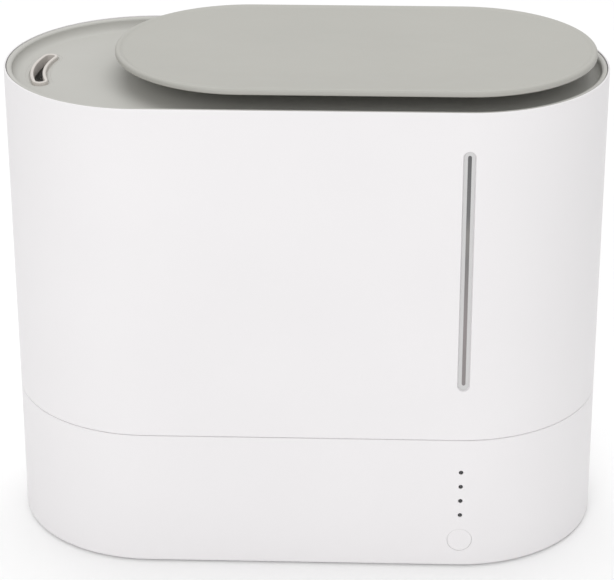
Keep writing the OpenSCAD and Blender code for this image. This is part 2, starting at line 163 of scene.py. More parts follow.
# the valve's neck under the tank and the power inlet
VALVE_X = (VALVE_LO.x + VALVE_HI.x) / 2
NECK_R = (16.0, 19.0)
NECK_Z = 66.0
JACK_X = (JACK_LO.x + JACK_HI.x) / 2
JACK_Z = (JACK_LO.z + JACK_HI.z) / 2
JACK_HOLE_R = 4.7


def mix(a, b, t):
    """The value at share t of the way from a to b."""
    return a + (b - a) * t


def wall_r(z):
    """Outer radius of the body's wall at height z."""
    if z < (BASE_TOP + TANK_Z) / 2:
        return mix(FOOT_R, SEAM_R, (z - SHELL_Z) / (BASE_TOP - SHELL_Z))
    return mix(SEAM_R, RIM_R, (z - TANK_Z) / (RIM_Z - TANK_Z))


def arc(cx, cz, r, a0, a1, n):
    """Points (r, z) of an arc, angles in degrees."""
    steps = [math.radians(mix(a0, a1, i / n)) for i in range(n + 1)]
    return [(cx + r * math.cos(a), cz + r * math.sin(a)) for a in steps]


def spread(a, b, n):
    """n + 1 evenly spaced values from a to b."""
    return [mix(a, b, i / n) for i in range(n + 1)]


def around(n):
    """n angles evenly round a circle."""
    return spread(0, 2 * math.pi, n)[:-1]


def unique_lines(values):
    """The values in order, without repeats."""
    kept = []
    for v in sorted(values):
        if not kept or v - kept[-1] > 1e-3:
            kept.append(v)
    return kept


# ---- mesh building ----
SHARP_ANGLE = math.radians(40)
MERGE_MM = 1e-5


class Mesh:
    """A mesh being built in millimetres."""

    def __init__(self):
        self.bm = bmesh.new()

    def ring(self, points):
        return [self.bm.verts.new(p) for p in points]

    def face(self, verts):
        unique = list(dict.fromkeys(verts))
        if len(unique) > 2:
            self.bm.faces.new(unique)

    def bridge(self, a, b, skip=()):
        """Quads between two closed rings of equal length, without the columns in skip."""
        n = len(a)
        for j in range(n):
            if j not in skip:
                k = (j + 1) % n
                self.face([a[j], a[k], b[k], b[j]])

    def loft(self, rings, closed=False):
        for a, b in zip(rings, rings[1:]):
            self.bridge(a, b)
        if closed:
            self.bridge(rings[-1], rings[0])

    def cap(self, outer, holes=()):
        """A flat face inside the outer ring, with holes."""
        loops = [outer] + list(holes)
        verts = [v for loop in loops for v in loop]
        for tri in tessellate_polygon([[v.co for v in loop] for loop in loops]):
            self.face([verts[i] for i in tri])

    def make(self, name, material, body, replaces=()):
        """Turns the mesh into an object in metres that rides on a body."""
        bm = self.bm
        bmesh.ops.remove_doubles(bm, verts=bm.verts, dist=MERGE_MM)
        bmesh.ops.dissolve_degenerate(bm, edges=bm.edges, dist=MERGE_MM)
        bmesh.ops.recalc_face_normals(bm, faces=bm.faces)
        for edge in bm.edges:
            if len(edge.link_faces) == 2 and edge.calc_face_angle(0) > SHARP_ANGLE:
                edge.smooth = False
        bmesh.ops.scale(bm, vec=(0.001, 0.001, 0.001), verts=bm.verts)
        data = bpy.data.meshes.new(name)
        bm.to_mesh(data)
        bm.free()
        for polygon in data.polygons:
            polygon.use_smooth = True
        piece = bpy.data.objects.new(name, data)
        scene.collection.objects.link(piece)
        data.materials.append(material)
        modifier = piece.modifiers.new("normals", "WEIGHTED_NORMAL")
        modifier.weight = 50
        modifier.keep_sharp = True
        if body:
            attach(piece, body)
        if replaces:
            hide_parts(*replaces)
        return piece


def outline(half, arc_r, extra, straight_n, arc_n):
    """Distances round a slot outline, from the left end of its front straight.

    Regular steps give way to the extra ones that lie within half a millimetre.
    """
    clear = 0.5
    turn = math.pi * arc_r
    length = 2 * half
    stops = [0, length, length + turn, 2 * length + turn, 2 * (length + turn)]
    us = unique_lines(extra)
    for start, end, n in zip(stops, stops[1:], [straight_n, arc_n, straight_n, arc_n]):
        us += [u for u in spread(start, end, n)[:-1] if all(abs(u - e) > clear for e in extra)]
    return sorted(us)


def station(u, half, arc_r):
    """Centre and outward direction of the slot outline at distance u round it."""
    turn = math.pi * arc_r
    length = 2 * half
    u %= 2 * (length + turn)
    if u <= length:
        return u - half, 0.0, -1.0
    u -= length
    if u <= turn:
        return half, math.sin(u / arc_r), -math.cos(u / arc_r)
    u -= turn
    if u <= length:
        return half - u, 0.0, 1.0
    a = (u - length) / arc_r
    return -half, -math.sin(a), math.cos(a)


class Slot:
    """A slot-shaped path: half length, centre, and along which axis it runs."""

    def __init__(self, half, centre=(0.0, 0.0), along_y=False, arc_r=RIM_R, extra=(),
                 straight_n=14, arc_n=40):
        self.half = half
        self.centre = centre
        self.along_y = along_y
        self.arc_r = arc_r
        self.us = outline(half, arc_r, extra, straight_n, arc_n)

    def point(self, u, r, z):
        cx, dx, dy = station(u, self.half, self.arc_r)
        x, y = cx + r * dx, r * dy
        if self.along_y:
            x, y = -y, x
        return Vector((self.centre[0] + x, self.centre[1] + y, z))

    def ring(self, mesh, r, z):
        return mesh.ring([self.point(u, r, z) for u in self.us])

    def rings(self, mesh, profile):
        return [self.ring(mesh, r, z) for r, z in profile]


def feature_lines(centre, half_w, low, high, divisions=6):
    """Grid lines that send evenly spread rays into the round ends of an upright slot feature."""
    steps = [half_w * math.tan(math.radians(45 * k / divisions)) for k in range(divisions + 1)]
    us = {centre + s * d for s in (-1, 1) for d in steps}
    row_h = 12
    rows = spread(low, high, 1 + int((high - low) / row_h))
    zs = {high + d for d in steps} | {low - d for d in steps} | set(rows)
    return us, zs


class Feature:
    """An upright hole or recess with round ends, cut through a wall.

    It runs from low to high between the centres of its round ends. reach is the half width of the
    patch of wall that it takes, and rings are (half width, depth) from the wall's face inwards.
    """

    def __init__(self, u, low, high, reach, rings):
        self.u = u
        self.low = low
        self.high = high
        self.reach = reach
        self.rings = rings
        self.us, self.zs = feature_lines(u, reach, low, high)

    def covers(self, u0, u1, z0, z1):
        tol = 1e-3
        return (u0 > self.u - self.reach - tol and u1 < self.u + self.reach + tol
                and z0 > self.low - self.reach - tol and z1 < self.high + self.reach + tol)

    def at(self, u, z, w):
        """The point at distance w from the feature's centre line, towards (u, z)."""
        cz = min(max(z, self.low), self.high)
        away = Vector((u - self.u, z - cz))
        away.normalize()
        return self.u + w * away.x, cz + w * away.y


def wall_shell(mesh, slot, outer_z, top, inner_z, features):
    """The outer wall, a top profile and the inner wall, with features cut in the walls.

    outer_z and inner_z are the (low, high) of the plain walls. The inner wall is WALL inside the outer
    one. Gives the lowest ring of each wall.
    """
    zs = set(spread(outer_z[0], outer_z[1], 12)) | set(inner_z)
    for feature in features:
        zs |= feature.zs
    zs = unique_lines(z for z in zs if outer_z[0] <= z <= outer_z[1])
    inner_zs = [z for z in zs if inner_z[0] - 1e-3 <= z <= inner_z[1] + 1e-3]
    n = len(slot.us)

    def position(u, z, depth):
        return slot.point(u, wall_r(z) - depth, z)

    def wall(levels, depth):
        rows = [mesh.ring([position(u, z, depth) for u in slot.us]) for z in levels]
        for i in range(len(rows) - 1):
            skip = {j for j in range(n - 1) for f in features
                    if f.covers(slot.us[j], slot.us[j + 1], levels[i], levels[i + 1])}
            mesh.bridge(rows[i], rows[i + 1], skip)
        return rows

    def border(feature, levels, rows):
        js = [j for j in range(n) if abs(slot.us[j] - feature.u) < feature.reach + 1e-2]
        rs = [i for i, z in enumerate(levels)
              if feature.low - feature.reach - 1e-2 < z < feature.high + feature.reach + 1e-2]
        loop = [(j, rs[0]) for j in js] + [(js[-1], i) for i in rs[1:]]
        loop += [(j, rs[-1]) for j in reversed(js[:-1])] + [(js[0], i) for i in reversed(rs[1:-1])]
        return [(slot.us[j], levels[i]) for j, i in loop], [rows[i][j] for j, i in loop]

    outer = wall(zs, 0)
    inner = wall(inner_zs, WALL)
    mesh.loft([outer[-1]] + slot.rings(mesh, top) + [inner[-1]])
    for feature in features:
        places, last = border(feature, zs, outer)
        for w, depth in feature.rings:
            ring = mesh.ring([position(*feature.at(u, z, w), depth) for u, z in places])
            mesh.bridge(last, ring)
            last = ring
        mesh.bridge(last, border(feature, inner_zs, inner)[1])
    return outer[0], inner[0]


def lathe(mesh, profile, centre, axis="z", n=64):
    """Revolves (r, h) about an axis through centre; h runs along +Z, or towards -Y for "front"."""
    rings = []
    for r, h in profile:
        ring = []
        for k in range(n):
            a = 2 * math.pi * k / n
            across, up = r * math.cos(a), r * math.sin(a)
            if axis == "z":
                p = (centre[0] + across, centre[1] + up, centre[2] + h)
            else:
                p = (centre[0] + across, centre[1] - h, centre[2] + up)
            ring.append(p)
        rings.append(mesh.ring(ring))
    mesh.loft(rings, closed=profile[0][0] > 0 and profile[-1][0] > 0)


# ---- materials ----
def node_material(name):
    material = bpy.data.materials.new(name)
    material.use_nodes = True
    tree = material.node_tree
    shader = tree.nodes["Principled BSDF"]
    return material, tree, shader


def add(tree, kind, **inputs):
    node = tree.nodes.new(kind)
    for key, value in inputs.items():
        node.inputs[key.replace("_", " ")].default_value = value
    return node


def noise(tree, scale, detail=3.0, roughness=0.5):
    """A noise texture over the object's own coordinates, in metres."""
    coords = tree.nodes.new("ShaderNodeTexCoord")
    texture = add(tree, "ShaderNodeTexNoise", Scale=scale, Detail=detail, Roughness=roughness)
    tree.links.new(coords.outputs["Object"], texture.inputs["Vector"])
    return texture


def ramp(tree, source, stops):
    """A colour ramp from (position, colour) pairs."""
    node = tree.nodes.new("ShaderNodeValToRGB")
    while len(node.color_ramp.elements) < len(stops):
        node.color_ramp.elements.new(0.5)
    for element, (position, colour) in zip(node.color_ramp.elements, stops):
        element.position = position
        element.color = (*colour, 1)
    tree.links.new(source, node.inputs["Fac"])
    return node


def grey(value):
    return (value, value, value)


def shade(colour, factor):
    return tuple(min(c * factor, 1.0) for c in colour)


def bump(tree, shader, layers):
    """Stacks bumps (height output, strength, distance) on the shader's normal."""
    previous = None
    for height, strength, distance in layers:
        node = add(tree, "ShaderNodeBump", Strength=strength, Distance=distance)
        tree.links.new(height, node.inputs["Height"])
        if previous:
            tree.links.new(previous.outputs["Normal"], node.inputs["Normal"])
        previous = node
    tree.links.new(previous.outputs["Normal"], shader.inputs["Normal"])


def moulded_plastic(name, colour, roughness=(0.38, 0.46), grain=9000, grain_depth=0.000012,
                    drift=0.012, specular=0.42, subsurface=0.0):
    """Injection-moulded plastic: fine spark-eroded grain, slow colour drift and uneven gloss."""
    material, tree, shader = node_material(name)
    slow = noise(tree, 9, 2.0)
    tints = [(0.3, shade(colour, 1 - drift)), (0.7, shade(colour, 1 + drift))]
    tint = ramp(tree, slow.outputs["Fac"], tints)
    tree.links.new(tint.outputs["Color"], shader.inputs["Base Color"])
    mottle = noise(tree, 60, 4.0)
    gloss = ramp(tree, mottle.outputs["Fac"], [(0.3, grey(roughness[0])), (0.7, grey(roughness[1]))])
    tree.links.new(gloss.outputs["Color"], shader.inputs["Roughness"])
    fine = noise(tree, grain, 2.0, 0.6)
    flow = noise(tree, 22, 1.0)
    bump(tree, shader, [(flow.outputs["Fac"], 0.08, 0.0004), (fine.outputs["Fac"], 0.35, grain_depth)])
    shader.inputs["Specular IOR Level"].default_value = specular
    if subsurface:
        shader.inputs["Subsurface Weight"].default_value = subsurface
        shader.inputs["Subsurface Radius"].default_value = (0.004, 0.004, 0.004)
        shader.inputs["Subsurface Scale"].default_value = 0.3
    return material


def soft_rubber(name, colour, roughness=0.75, clear=0.0):
    """Rubber or silicone with a dusty, uneven surface."""
    material, tree, shader = node_material(name)
    dust = noise(tree, 180, 5.0, 0.6)
    tint = ramp(tree, dust.outputs["Fac"], [(0.35, shade(colour, 0.9)), (0.7, shade(colour, 1.12))])
    tree.links.new(tint.outputs["Color"], shader.inputs["Base Color"])
    uneven = 0.08
    glosses = [(0.3, grey(roughness - uneven)), (0.7, grey(roughness + uneven))]
    gloss = ramp(tree, dust.outputs["Fac"], glosses)
    tree.links.new(gloss.outputs["Color"], shader.inputs["Roughness"])
    bump(tree, shader, [(dust.outputs["Fac"], 0.25, 0.00005)])
    shader.inputs["Subsurface Weight"].default_value = clear
    shader.inputs["Subsurface Radius"].default_value = (0.002, 0.002, 0.002)
    return material


def turned_metal(name, colour, roughness=0.28, streak=(1, 1, 30), scratch=900):
    """Metal with fine machining lines and slightly uneven polish."""
    material, tree, shader = node_material(name)
    coords = tree.nodes.new("ShaderNodeTexCoord")
    stretch = add(tree, "ShaderNodeMapping", Scale=streak)
    lines = add(tree, "ShaderNodeTexNoise", Scale=scratch, Detail=3.0)
    tree.links.new(coords.outputs["Object"], stretch.inputs["Vector"])
    tree.links.new(stretch.outputs["Vector"], lines.inputs["Vector"])
    tint = ramp(tree, lines.outputs["Fac"], [(0.3, shade(colour, 0.88)), (0.7, shade(colour, 1.06))])
    tree.links.new(tint.outputs["Color"], shader.inputs["Base Color"])
    glosses = [(0.3, grey(roughness * 0.8)), (0.7, grey(roughness * 1.3))]
    gloss = ramp(tree, lines.outputs["Fac"], glosses)
    tree.links.new(gloss.outputs["Color"], shader.inputs["Roughness"])
    bump(tree, shader, [(lines.outputs["Fac"], 0.15, 0.00003)])
    shader.inputs["Metallic"].default_value = 1.0
    return material


def circuit_board(name):
    """Green solder mask with copper tracks showing through and a faint glass weave."""
    material, tree, shader = node_material(name)
    coords = tree.nodes.new("ShaderNodeTexCoord")
    tracks = add(tree, "ShaderNodeTexBrick", Scale=260.0, Mortar_Size=0.03)
    tracks.inputs["Color1"].default_value = (0.010, 0.095, 0.040, 1)
    tracks.inputs["Color2"].default_value = (0.014, 0.120, 0.052, 1)
    tracks.inputs["Mortar"].default_value = (0.045, 0.190, 0.080, 1)
    tree.links.new(coords.outputs["Object"], tracks.inputs["Vector"])
    tree.links.new(tracks.outputs["Color"], shader.inputs["Base Color"])
    weave = noise(tree, 2600, 1.0)
    bump(tree, shader, [(tracks.outputs["Fac"], 0.2, 0.00004), (weave.outputs["Fac"], 0.1, 0.00001)])
    shader.inputs["Roughness"].default_value = 0.32
    return material


def smoked_glass(name, colour, roughness=0.12):
    """Tinted polycarbonate with a faint haze."""
    material, tree, shader = node_material(name)
    haze = noise(tree, 120, 3.0)
    tint = ramp(tree, haze.outputs["Fac"], [(0.3, shade(colour, 0.85)), (0.7, shade(colour, 1.15))])
    tree.links.new(tint.outputs["Color"], shader.inputs["Base Color"])
    gloss = ramp(tree, haze.outputs["Fac"], [(0.3, grey(roughness)), (0.7, grey(roughness * 1.8))])
    tree.links.new(gloss.outputs["Color"], shader.inputs["Roughness"])
    bump(tree, shader, [(haze.outputs["Fac"], 0.05, 0.00002)])
    shader.inputs["IOR"].default_value = 1.58
    return material


def level_window_shade(name, low, high):
    """The strip of the level window, coloured with painted shade: dark greys stand in for the shaded inside
    of the tank seen through the clear lens, lighter and warmer towards the bottom.
    """
    material, tree, shader = node_material(name)
    coords = tree.nodes.new("ShaderNodeTexCoord")
    split = tree.nodes.new("ShaderNodeSeparateXYZ")
    height = tree.nodes.new("ShaderNodeMapRange")
    height.inputs["From Min"].default_value = low
    height.inputs["From Max"].default_value = high
    tree.links.new(coords.outputs["Object"], split.inputs["Vector"])
    tree.links.new(split.outputs["Z"], height.inputs["Value"])
    # painted shade: greys for the tank's shaded inside behind the clear lens, darker towards the top
    stops = [(0.0, (0.235, 0.215, 0.215)), (0.3, (0.25, 0.225, 0.225)), (0.55, (0.185, 0.18, 0.178)),
             (0.66, (0.215, 0.205, 0.195)), (0.74, (0.14, 0.14, 0.142)), (1.0, (0.10, 0.10, 0.102))]
    tint = ramp(tree, height.outputs["Result"], stops)
    tree.links.new(tint.outputs["Color"], shader.inputs["Base Color"])
    haze = noise(tree, 150, 3.0)
    gloss = ramp(tree, haze.outputs["Fac"], [(0.3, grey(0.3)), (0.7, grey(0.42))])
    tree.links.new(gloss.outputs["Color"], shader.inputs["Roughness"])
    bump(tree, shader, [(haze.outputs["Fac"], 0.05, 0.00002)])
    return material


WHITE = (0.808, 0.792, 0.800)
WARM_GREY = (0.480, 0.475, 0.446)
COVER_GREY = (0.425, 0.420, 0.388)
PALE = (0.62, 0.585, 0.55)

white_plastic = moulded_plastic("white_plastic", WHITE, subsurface=0.05)
MATT = {"roughness": (0.46, 0.56), "grain": 7000, "grain_depth": 0.00002, "drift": 0.02, "specular": 0.35}
grey_plastic = moulded_plastic("grey_plastic", WARM_GREY, **MATT)
cover_plastic = moulded_plastic("cover_plastic", COVER_GREY, **MATT)
pale_plastic = moulded_plastic("pale_plastic", PALE, roughness=(0.42, 0.52))
BLACK = (0.020, 0.020, 0.022)
black_plastic = moulded_plastic("black_plastic", BLACK, roughness=(0.42, 0.58), drift=0.1)
foot_rubber = soft_rubber("foot_rubber", (0.045, 0.045, 0.047), 0.82)
silicone = soft_rubber("silicone", (0.62, 0.60, 0.56), 0.55, clear=0.3)
steel = turned_metal("steel", (0.62, 0.63, 0.64))
alloy = turned_metal("alloy", (0.72, 0.73, 0.74), 0.38, streak=(30, 1, 1))
copper = turned_metal("copper", (0.65, 0.30, 0.14), 0.30, streak=(1, 1, 60), scratch=1500)
bronze = turned_metal("bronze", (0.48, 0.33, 0.15), 0.45)
magnet = soft_rubber("magnet", (0.055, 0.055, 0.060), 0.6)
board = circuit_board("board")
smoked_lens = smoked_glass("smoked_lens", (0.030, 0.030, 0.032))
# the clear lens carries painted shade of the tank's inside instead of showing through
clear_lens = level_window_shade("clear_lens", WINDOW[0] / 1000, WINDOW[1] / 1000)
frosted_lens = moulded_plastic("frosted_lens", (0.60, 0.595, 0.595), roughness=(0.3, 0.4), drift=0.03)
reed_glass = smoked_glass("reed_glass", (0.55, 0.62, 0.66), roughness=0.05)
wire = soft_rubber("wire", (0.020, 0.020, 0.023), 0.5)

SLOT_MATERIAL = {
    "white_plastic": white_plastic, "grey_plastic": grey_plastic, "pale_plastic": pale_plastic,
    "black_plastic": black_plastic, "foot_rubber": foot_rubber, "silicone": silicone, "steel": steel,
    "alloy": alloy, "copper": copper, "bronze": bronze, "magnet": magnet, "board": board,
    "smoked_lens": smoked_lens, "clear_lens": clear_lens, "reed_glass": reed_glass, "wire": wire,
}


# ---- shells ----
def panel_u(x):
    """Distance round the body's outline of a place on the front wall, by its x."""
    return HALF + x if x <= HALF else 2 * HALF + RIM_R * math.asin((x - HALF) / RIM_R)


def back_u(x):
    """Distance round the body's outline of a place on the flat of the back wall, by its x."""
    return 2 * HALF + math.pi * RIM_R + HALF - x


def hole_rings(radius, edge=0.25):
    """Rings of a hole through the wall, with a rounded outer edge."""
    quarter = [math.radians(a) for a in (0, 30, 60, 90)]
    rounded = [(radius + edge - edge * math.sin(a), edge - edge * math.cos(a)) for a in quarter]
    return rounded + [(radius, WALL - 0.05), (radius + 0.05, WALL)]


def base_shell():
    """White skirt with its foot, its lip at the seam, and the holes for key, indicators and inlet."""
    dots = [DOT_Z0 + i * DOT_PITCH for i in range(DOT_COUNT)]
    front_u = panel_u(PANEL_X)
    features = [Feature(front_u, BUTTON_Z, BUTTON_Z, reach=7.7, rings=hole_rings(BUTTON_HOLE_R, 0.1))]
    features += [Feature(front_u, z, z, reach=2.6, rings=hole_rings(DOT_HOLE_R, 0.12)) for z in dots]
    features.append(Feature(back_u(JACK_X), JACK_Z, JACK_Z, reach=6.4, rings=hole_rings(JACK_HOLE_R)))
    slot = Slot(HALF, extra={u for f in features for u in f.us}, straight_n=16, arc_n=48)
    foot = arc(FOOT_R - FOOT_ROUND, SHELL_Z + FOOT_ROUND, FOOT_ROUND, 0, -90, 8)
    lip = arc(SEAM_R - SEAM_ROUND, BASE_TOP - SEAM_ROUND, SEAM_ROUND, 0, 90, 6)
    lip_in_r = SEAM_R - BASE_LIP_T
    bevel = 0.15
    top = lip[1:] + [(lip_in_r + bevel, BASE_TOP), (lip_in_r, BASE_TOP - bevel), (lip_in_r, BASE_LIP_Z),
                     (SEAM_R - WALL + 0.1, BASE_LIP_Z)]
    mesh = Mesh()
    outer, inner = wall_shell(mesh, slot, (foot[0][1], lip[0][1]), top, BASE_INNER_Z, features)
    foot_in_r = FOOT_R - 4.5
    inside = [(foot_in_r + 0.3, SHELL_Z), (foot_in_r, SHELL_Z + 0.3), (foot_in_r, 6), (foot_in_r + 0.1, 6.2)]
    mesh.loft([outer] + slot.rings(mesh, foot[1:]) + slot.rings(mesh, inside) + [inner])
    mesh.make("base_shell_skin", white_plastic, "base", ["base_shell"])


def circle(mesh, x, y, r, z, n=72):
    return mesh.ring([(x + r * math.cos(a), y + r * math.sin(a), z) for a in around(n)])


def tank_shell():
    """White tank with its rim, window groove, floor, duct opening and valve neck."""
    # (half width, depth) of the groove, from its rounded edge to the slit behind the lens
    groove = [(3.4, 0.0), (3.18, 0.05), (3.03, 0.22), (2.95, 1.05), (2.8, 1.2), (1.25, 1.2),
              (1.13, 1.25), (1.1, 1.4), (1.1, WALL - 0.05), (1.15, WALL)]
    window = Feature(panel_u(PANEL_X), WINDOW[0] + GROOVE_W, WINDOW[1] - GROOVE_W, reach=5.0, rings=groove)
    slot = Slot(HALF, extra=window.us, straight_n=16, arc_n=48)
    edge = arc(RIM_R - RIM_ROUND, RIM_Z - RIM_ROUND, RIM_ROUND, 0, 90, 6)
    rim_in_r = RIM_R - RIM_T
    inner_edge = arc(rim_in_r + RIM_IN_ROUND, RIM_Z - RIM_IN_ROUND, RIM_IN_ROUND, 90, 180, 3)
    top = edge[1:] + inner_edge + [(rim_in_r, LEDGE_Z)]
    skirt = arc(SEAM_R - SEAM_ROUND, SKIRT_Z + SEAM_ROUND, SEAM_ROUND, 0, -90, 6)
    in_r = SEAM_R - WALL
    inner_foot = arc(in_r - TANK_CORNER, TANK_FLOOR_TOP + TANK_CORNER, TANK_CORNER, 0, -90, 6)
    mesh = Mesh()
    walls_z = (skirt[0][1], edge[0][1])
    inner_z = (inner_foot[0][1] + 0.3, LEDGE_Z)
    outer, inner = wall_shell(mesh, slot, walls_z, top, inner_z, [window])
    inside = [inner] + slot.rings(mesh, inner_foot)
    outside = [outer] + slot.rings(mesh, skirt[1:] + [(in_r, SKIRT_Z), (in_r, TANK_FLOOR)])
    mesh.loft(inside)
    mesh.loft(outside)
    duct = duct_slot()
    duct_top = duct.ring(mesh, DUCT_R + DUCT_GAP, TANK_FLOOR_TOP)
    duct_low = duct.ring(mesh, DUCT_R + DUCT_GAP, TANK_FLOOR)
    mesh.bridge(duct_top, duct_low)
    in_neck, out_neck = NECK_R
    bevel = 0.2
    neck_profile = [(in_neck, TANK_FLOOR_TOP), (in_neck, NECK_Z + bevel), (in_neck + bevel, NECK_Z),
                    (out_neck - bevel, NECK_Z), (out_neck, NECK_Z + bevel), (out_neck, TANK_FLOOR)]
    neck = [circle(mesh, VALVE_X, 0, r, z) for r, z in neck_profile]
    mesh.loft(neck)
    mesh.cap(inside[-1], [duct_top, neck[0]])
    mesh.cap(outside[-1], [duct_low, neck[-1]])
    mesh.make("tank_skin", white_plastic, "tank", ["tank_shell"])


def duct_slot():
    """The mist duct's path, across the body."""
    return Slot(DUCT_HALF, (DUCT_X, 0), along_y=True, arc_r=DUCT_R, straight_n=6, arc_n=28)


def mouth_slot():
    """The fill mouth's path, under the middle of the cover."""
    return Slot(MOUTH_HALF, (COVER_X, 0), arc_r=COLLAR_R, straight_n=10, arc_n=32)


def upright_strip(mesh, rings, low, high):
    """A strip with round ends in the front wall, from (half width, depth) rings, closed by caps."""
    loops = []
    u = panel_u(PANEL_X)
    body = Slot(HALF)
    for w, depth in rings:
        z0, z1 = low + w, high - w
        places = [(u + w * math.cos(a), z1 + w * math.sin(a)) for a in spread(0, math.pi, 12)]
        places += [(u - w, z) for z in spread(z1, z0, 14)[1:-1]]
        places += [(u + w * math.cos(a), z0 + w * math.sin(a)) for a in spread(math.pi, 2 * math.pi, 12)]
        places += [(u + w, z) for z in spread(z0, z1, 14)[1:-1]]
        loops.append(mesh.ring([body.point(s, wall_r(z) - depth, z) for s, z in places]))
    mesh.loft(loops)
    mesh.cap(loops[0])
    mesh.cap(loops[-1])


def window_lens():
    """The level window: a strip coloured with painted shade of the tank's inside, the frosted band round it
    and the flange behind the wall.
    """
    bottom, top = WINDOW
    strip = Mesh()
    strip_rings = [(0.55, 0.96), (0.8, 1.0), (0.93, 1.07), (0.95, 1.2), (0.95, 2.05)]
    upright_strip(strip, strip_rings, bottom + 2.9, top - 2.3)
    strip.make("window_strip", clear_lens, "tank")
    frost = Mesh()
    frost_rings = [(2.6, 1.19), (2.72, 1.12), (2.62, 1.06), (1.2, 1.09)]
    upright_strip(frost, frost_rings, bottom + 0.25, top - 0.25)
    frost.make("window_frost", frosted_lens, "tank")
    back = Mesh()
    back_rings = [(4.6, 2.1), (5.0, 2.4), (5.0, 3.3), (4.6, 3.6)]
    upright_strip(back, back_rings, bottom - 2.3, top + 2.3)
    back.make("window_flange", clear_lens, "tank", ["window_lens"])


def crescent_slot(mesh, w, z, n=28, cap_n=10):
    """A ring at distance w from the crescent's centre line, about the left end's centre."""
    points = []
    for a in spread(-CRESCENT_A, CRESCENT_A, n):
        points.append(((CRESCENT_R + w) * math.cos(a), (CRESCENT_R + w) * math.sin(a)))
    for end, turn in ((CRESCENT_A, 1), (-CRESCENT_A, -1)):
        centre = (CRESCENT_R * math.cos(end), CRESCENT_R * math.sin(end))
        start = end if turn > 0 else end + math.pi
        for a in spread(start, start + math.pi, cap_n)[1:-1]:
            points.append((centre[0] + w * math.cos(a), centre[1] + w * math.sin(a)))
        if turn > 0:
            for a in spread(CRESCENT_A, -CRESCENT_A, n):
                points.append(((CRESCENT_R - w) * math.cos(a), (CRESCENT_R - w) * math.sin(a)))
    return mesh.ring([(-HALF - x, -y, z) for x, y in points])


def top_tray():
    """Grey tray with its flange, the collar of the fill mouth, the outlet's seat and the pipe below it."""
    slot = Slot(HALF, straight_n=16, arc_n=56)
    mouth = mouth_slot()
    duct = duct_slot()
    mesh = Mesh()
    centre_r = TRAY_IN_R - TRAY_ROUND
    under_round = TRAY_ROUND + TRAY_SIDE
    edge_round = 0.3
    profile = arc(centre_r, TRAY_Z + TRAY_ROUND, TRAY_ROUND, -90, 0, 12)
    soft = TRAY_FLANGE_ROUND
    profile += arc(TRAY_IN_R + soft, TRAY_TOP - soft, soft, 180, 90, 8)
    profile += arc(TRAY_FLANGE_R - edge_round, TRAY_TOP - edge_round, edge_round, 90, 0, 4)
    profile.append((TRAY_FLANGE_R, LEDGE_Z + TRAY_SEAL_H))
    profile += arc(centre_r, TRAY_UNDER + under_round, under_round, -5, -90, 10)
    rings = slot.rings(mesh, profile)
    mesh.loft(rings)
    low, high = COLLAR_Z
    collar = [(COLLAR_R, TRAY_Z), (COLLAR_R, high - 0.4), (COLLAR_R - 0.4, high), (MOUTH_R + 0.4, high),
              (MOUTH_R, high - 0.4), (MOUTH_R, low + 0.3), (MOUTH_R + 0.3, low), (COLLAR_R - 0.3, low),
              (COLLAR_R, low + 0.3), (COLLAR_R, TRAY_UNDER)]
    collar_rings = mouth.rings(mesh, collar)
    mesh.loft(collar_rings)
    # (half width, depth) of the shallow seat round the outlet
    seat = [(6.5, 0), (6.3, 0.04), (6.1, 0.2), (5.9, 0.3), (4.75, 0.38), (4.55, 0.5), (4.5, SEAT_DEPTH),
            (THROAT_W, SEAT_DEPTH), (THROAT_W, TRAY_Z - TRAY_UNDER)]
    seat_rings = [crescent_slot(mesh, w, TRAY_Z - depth) for w, depth in seat]
    mesh.loft(seat_rings)
    pipe = [(DUCT_R, TRAY_UNDER), (DUCT_R, PIPE_Z + 0.3), (DUCT_R - 0.2, PIPE_Z), (DUCT_IN_R + 0.2, PIPE_Z),
            (DUCT_IN_R, PIPE_Z + 0.3), (DUCT_IN_R, TRAY_UNDER)]
    pipe_rings = duct.rings(mesh, pipe)
    mesh.loft(pipe_rings)
    mesh.cap(rings[0], [collar_rings[0], seat_rings[0]])
    mesh.cap(rings[-1], [collar_rings[-1], pipe_rings[0]])
    mesh.cap(pipe_rings[-1], [seat_rings[-1]])
    mesh.make("tray_skin", grey_plastic, "tray", ["top_tray"])


def mist_nozzle():
    """The crescent outlet's pale lip, with the spigot that stands in the tray."""
    mesh = Mesh()
    outer_w = CRESCENT_W + 1.65
    spigot_w = THROAT_W - 0.15
    base_z = TRAY_Z - SEAT_DEPTH
    lip_in_round = 0.45
    lip_out_round = 0.55
    bevel = 0.2
    lip = [(CRESCENT_W + bevel, NOZZLE_Z), (spigot_w - bevel, NOZZLE_Z), (spigot_w, NOZZLE_Z + bevel),
           (spigot_w, base_z), (outer_w, base_z)]
    lip += arc(outer_w - lip_out_round, LIP_TOP - lip_out_round, lip_out_round, 0, 90, 6)
    lip += arc(CRESCENT_W + lip_in_round, LIP_TOP - lip_in_round, lip_in_round, 90, 180, 6)
    lip += [(CRESCENT_W, z) for z in spread(LIP_TOP - 0.5, NOZZLE_Z + bevel, 6)[1:]]
    rings = [crescent_slot(mesh, w, z) for w, z in lip]
    mesh.loft(rings, closed=True)
    mesh.make("nozzle_skin", pale_plastic, "tray", ["mist_nozzle"])


